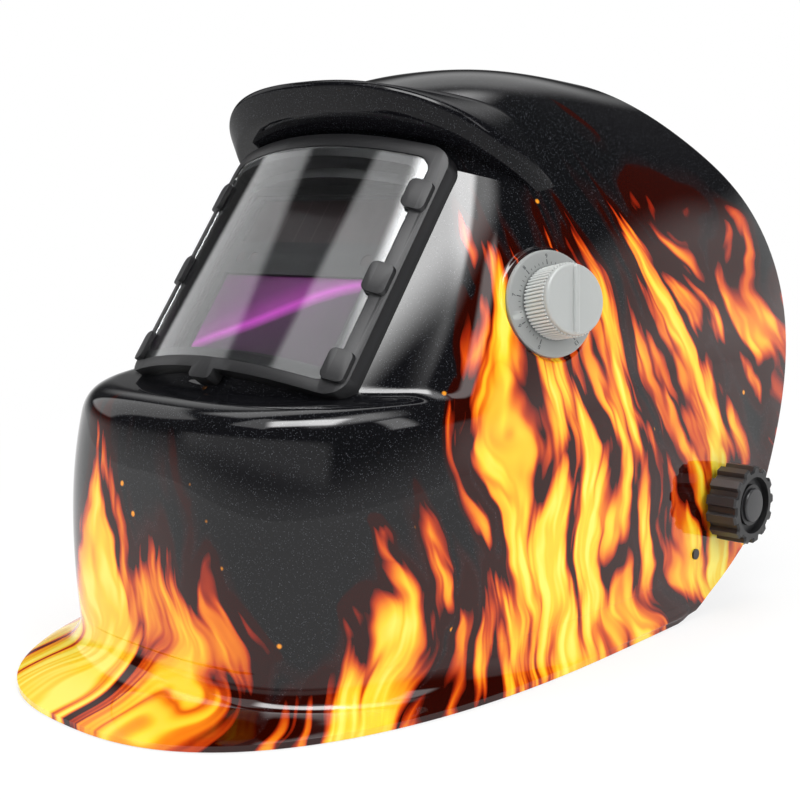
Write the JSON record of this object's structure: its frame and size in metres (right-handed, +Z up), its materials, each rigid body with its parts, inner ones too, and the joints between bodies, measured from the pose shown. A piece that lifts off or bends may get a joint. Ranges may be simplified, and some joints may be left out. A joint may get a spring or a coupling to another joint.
{
  "type": "welding helmet",
  "caption": "Gloss welding helmet with a curved visor window, auto-darkening cartridge, side shade dial, friction pivots and a ratchet headgear.",
  "frame": {"origin": "under the middle of the helmet's bounding box, in the plane of the shell's rim", "axes": "+X to the wearer's left, -Y the front (the way the window faces), +Z up"},
  "size_m": [0.2582, 0.3981, 0.2389],
  "materials": {
    "shell_gloss": null,
    "frame_plastic": "satin",
    "clear_lens": "clear polycarbonate",
    "inner_plastic": "satin",
    "cartridge_plastic": "satin",
    "filter_glass": "dark violet welding filter",
    "solar_glass": "dark glazed cell",
    "board": "green laminate",
    "sensor": "dark lens",
    "steel": "plated",
    "dial_grey": "satin grey",
    "knob_plastic": "satin black",
    "cap_grey": "satin grey",
    "nylon": "satin nylon",
    "headgear_plastic": "satin",
    "padding": "woven cover over foam"
  },
  "bodies": {
    "shell": {"shell": "shell_gloss", "lens_frame": "frame_plastic", "cover_lens": "clear_lens", "filter_holder": "inner_plastic", "filter_housing": "cartridge_plastic", "lcd_filter_glass": "filter_glass", "solar_cell": "solar_glass", "circuit_board": "board", "arc_sensors": "sensor", "battery_cell": "steel", "filter_back_cover": "cartridge_plastic", "inner_cover_lens": "clear_lens", "shade_dial_plate": "dial_grey", "shade_nut": "steel", "shade_potentiometer": "steel", "shade_pot_cover": "inner_plastic", "stop_plate_left": "nylon", "stop_plate_right": "nylon", "pivot_washers": "nylon"},
    "headgear": {"side_arm_left": "headgear_plastic", "side_arm_right": "headgear_plastic", "pivot_bolts": "steel", "headband": "headgear_plastic", "sweatband": "padding", "band_tail_left": "headgear_plastic", "band_tail_right": "headgear_plastic", "crown_strap_front_left": "headgear_plastic", "crown_strap_front_right": "headgear_plastic", "crown_strap_rear_left": "headgear_plastic", "crown_strap_rear_right": "headgear_plastic", "band_rivets": "nylon"},
    "ratchet": {"ratchet_housing": "headgear_plastic", "ratchet_cover": "headgear_plastic", "nape_pad": "padding"},
    "ratchet_knob": {"ratchet_knob": "knob_plastic", "ratchet_pinion": "headgear_plastic"},
    "tension_knob_left": {"tension_knob_left": "knob_plastic", "knob_cap_left": "cap_grey"},
    "tension_knob_right": {"tension_knob_right": "knob_plastic", "knob_cap_right": "cap_grey"},
    "shade_knob": {"shade_knob": "dial_grey", "shade_shaft": "steel"},
    "sensitivity_knob": {"sensitivity_knob": "knob_plastic"},
    "delay_knob": {"delay_knob": "knob_plastic"},
    "filter_latch": {"filter_latch": "inner_plastic"}
  },
  "joints": [
    {"name": "headgear_tilt", "type": "hinge", "parent": "shell", "child": "headgear", "pos_m": [0, 0.0695, 0.0465], "axis": [1, 0, 0], "range_deg": [-13, 72]},
    {"name": "tension_knob_left_turn", "type": "hinge", "parent": "headgear", "child": "tension_knob_left", "pos_m": [0.122, 0.0695, 0.0465], "axis": [1, 0, 0], "range_deg": [0, 720]},
    {"name": "tension_knob_right_turn", "type": "hinge", "parent": "headgear", "child": "tension_knob_right", "pos_m": [-0.122, 0.0695, 0.0465], "axis": [1, 0, 0], "range_deg": [-720, 0]},
    {"name": "shade_knob_turn", "type": "hinge", "parent": "shell", "child": "shade_knob", "pos_m": [0.095, -0.0315, 0.142], "axis": [0.9534, -0.2377, 0.1857], "range_deg": [-135, 135]},
    {"name": "sensitivity_knob_turn", "type": "hinge", "parent": "shell", "child": "sensitivity_knob", "pos_m": [-0.025, -0.04781, 0.16404], "axis": [0, 0.7944, -0.6074], "range_deg": [-135, 135]},
    {"name": "delay_knob_turn", "type": "hinge", "parent": "shell", "child": "delay_knob", "pos_m": [0.025, -0.04781, 0.16404], "axis": [0, 0.7944, -0.6074], "range_deg": [-135, 135]},
    {"name": "filter_latch_slide", "type": "slide", "parent": "shell", "child": "filter_latch", "axis": [0, -0.6074, -0.7944], "range_m": [0, 0.007]},
    {"name": "ratchet_slide", "type": "slide", "parent": "headgear", "child": "ratchet", "axis": [0, -0.9659, 0.2588], "range_m": [0, 0.024], "deforming": ["band_tail_left", "band_tail_right"]},
    {"name": "ratchet_knob_turn", "type": "hinge", "parent": "ratchet", "child": "ratchet_knob", "pos_m": [0, 0.1772, 0.04663], "axis": [0, 0.9659, -0.2588], "range_deg": [0, 276]}
  ],
  "couplings": [
    {"joint": "ratchet_knob_turn", "follows": "ratchet_slide", "rad_per_m": 200}
  ]
}
